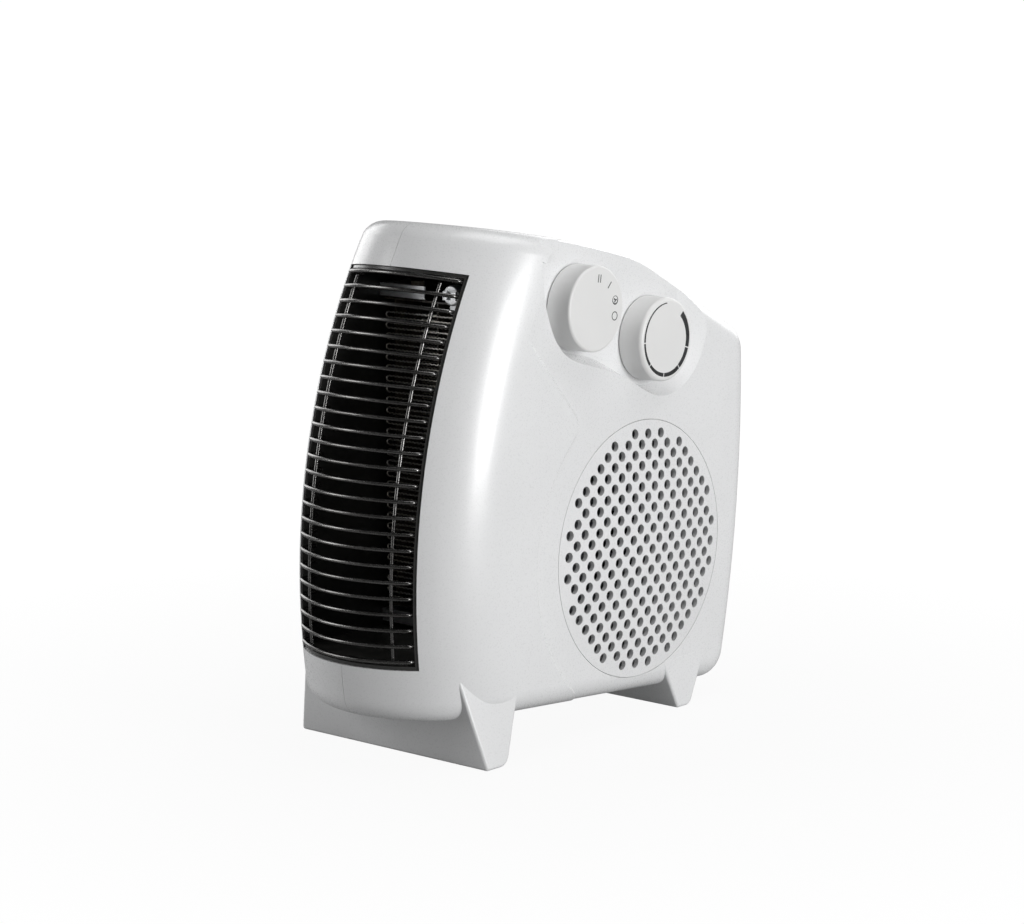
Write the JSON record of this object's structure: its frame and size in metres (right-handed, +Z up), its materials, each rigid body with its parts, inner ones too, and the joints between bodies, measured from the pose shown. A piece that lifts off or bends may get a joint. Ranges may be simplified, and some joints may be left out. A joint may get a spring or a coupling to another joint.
{
  "type": "upright fan heater",
  "caption": "Upright portable fan heater: rounded wire-guarded outlet, round perforated side intakes, selector and thermostat knobs, splayed feet.",
  "frame": {"origin": "on the floor under the middle of the heater's box", "axes": "+Z up, -Y the hot air outlet, +X the side with the knobs"},
  "size_m": [0.124, 0.2392, 0.2424],
  "materials": {
    "shell": "white moulded ABS, satin-gloss",
    "knob": "white moulded knob, fine satin",
    "pad_rubber": "light grey rubber",
    "zinc_steel": "zinc-plated steel",
    "gland": "soft white-grey plastic",
    "duct": "black glossy heat-resistant plastic",
    "guard_wire": "dark nickel-plated steel wire",
    "mica": "dark mica board",
    "resistance_wire": "oxidised resistance wire",
    "bright_strip": "bright aluminium strip",
    "ceramic": "glazed steatite ceramic",
    "switch_body": "black thermoset",
    "wheel_metal": "pressed aluminium blades",
    "scroll_plastic": "black polypropylene",
    "lamination": "stacked electrical steel",
    "coil": "enamelled copper under tape",
    "bronze": "sintered bronze"
  },
  "bodies": {
    "housing": {"left_half_shell": "shell", "right_half_shell": "shell", "left_intake_grille": "shell", "right_intake_grille": "shell", "front_foot": "shell", "rear_foot": "shell", "lying_pads": "pad_rubber", "case_screws": "zinc_steel", "cord_gland": "gland", "outlet_duct": "duct", "guard_cross_wires": "guard_wire", "guard_upright_wires": "guard_wire", "mica_frame": "mica", "front_winding": "resistance_wire", "rear_winding": "resistance_wire", "upper_element_bracket": "bright_strip", "lower_element_bracket": "bright_strip", "ceramic_standoffs": "ceramic", "thermal_cutout": "bright_strip", "thermal_fuse": "ceramic", "rotary_switch": "switch_body", "thermostat_body": "switch_body", "bush_nuts": "zinc_steel", "blower_scroll": "scroll_plastic", "motor_plate": "zinc_steel", "motor_stator": "lamination", "motor_coil": "coil", "rear_motor_bracket": "zinc_steel", "front_motor_bracket": "zinc_steel", "motor_bearings": "bronze", "motor_screws": "zinc_steel", "terminal_block": "ceramic", "terminal_screws": "bronze"},
    "selector": {"selector_knob": "knob", "selector_spindle": "zinc_steel"},
    "thermostat_dial": {"thermostat_knob": "knob", "thermostat_spindle": "zinc_steel"},
    "rotor": {"blower_wheel": "wheel_metal", "motor_shaft": "zinc_steel", "motor_rotor": "lamination"}
  },
  "joints": [
    {"name": "selector_turn", "type": "hinge", "parent": "housing", "child": "selector", "pos_m": [0.055, -0.0115, 0.2026], "axis": [1, 0, 0], "range_deg": [0, 99]},
    {"name": "thermostat_turn", "type": "hinge", "parent": "housing", "child": "thermostat_dial", "pos_m": [0.055, 0.0418, 0.1832], "axis": [-1, 0, 0], "range_deg": [0, 270]},
    {"name": "fan_spin", "type": "hinge", "parent": "housing", "child": "rotor", "pos_m": [0, 0.0325, 0.0837], "axis": [1, 0, 0], "continuous": true}
  ]
}
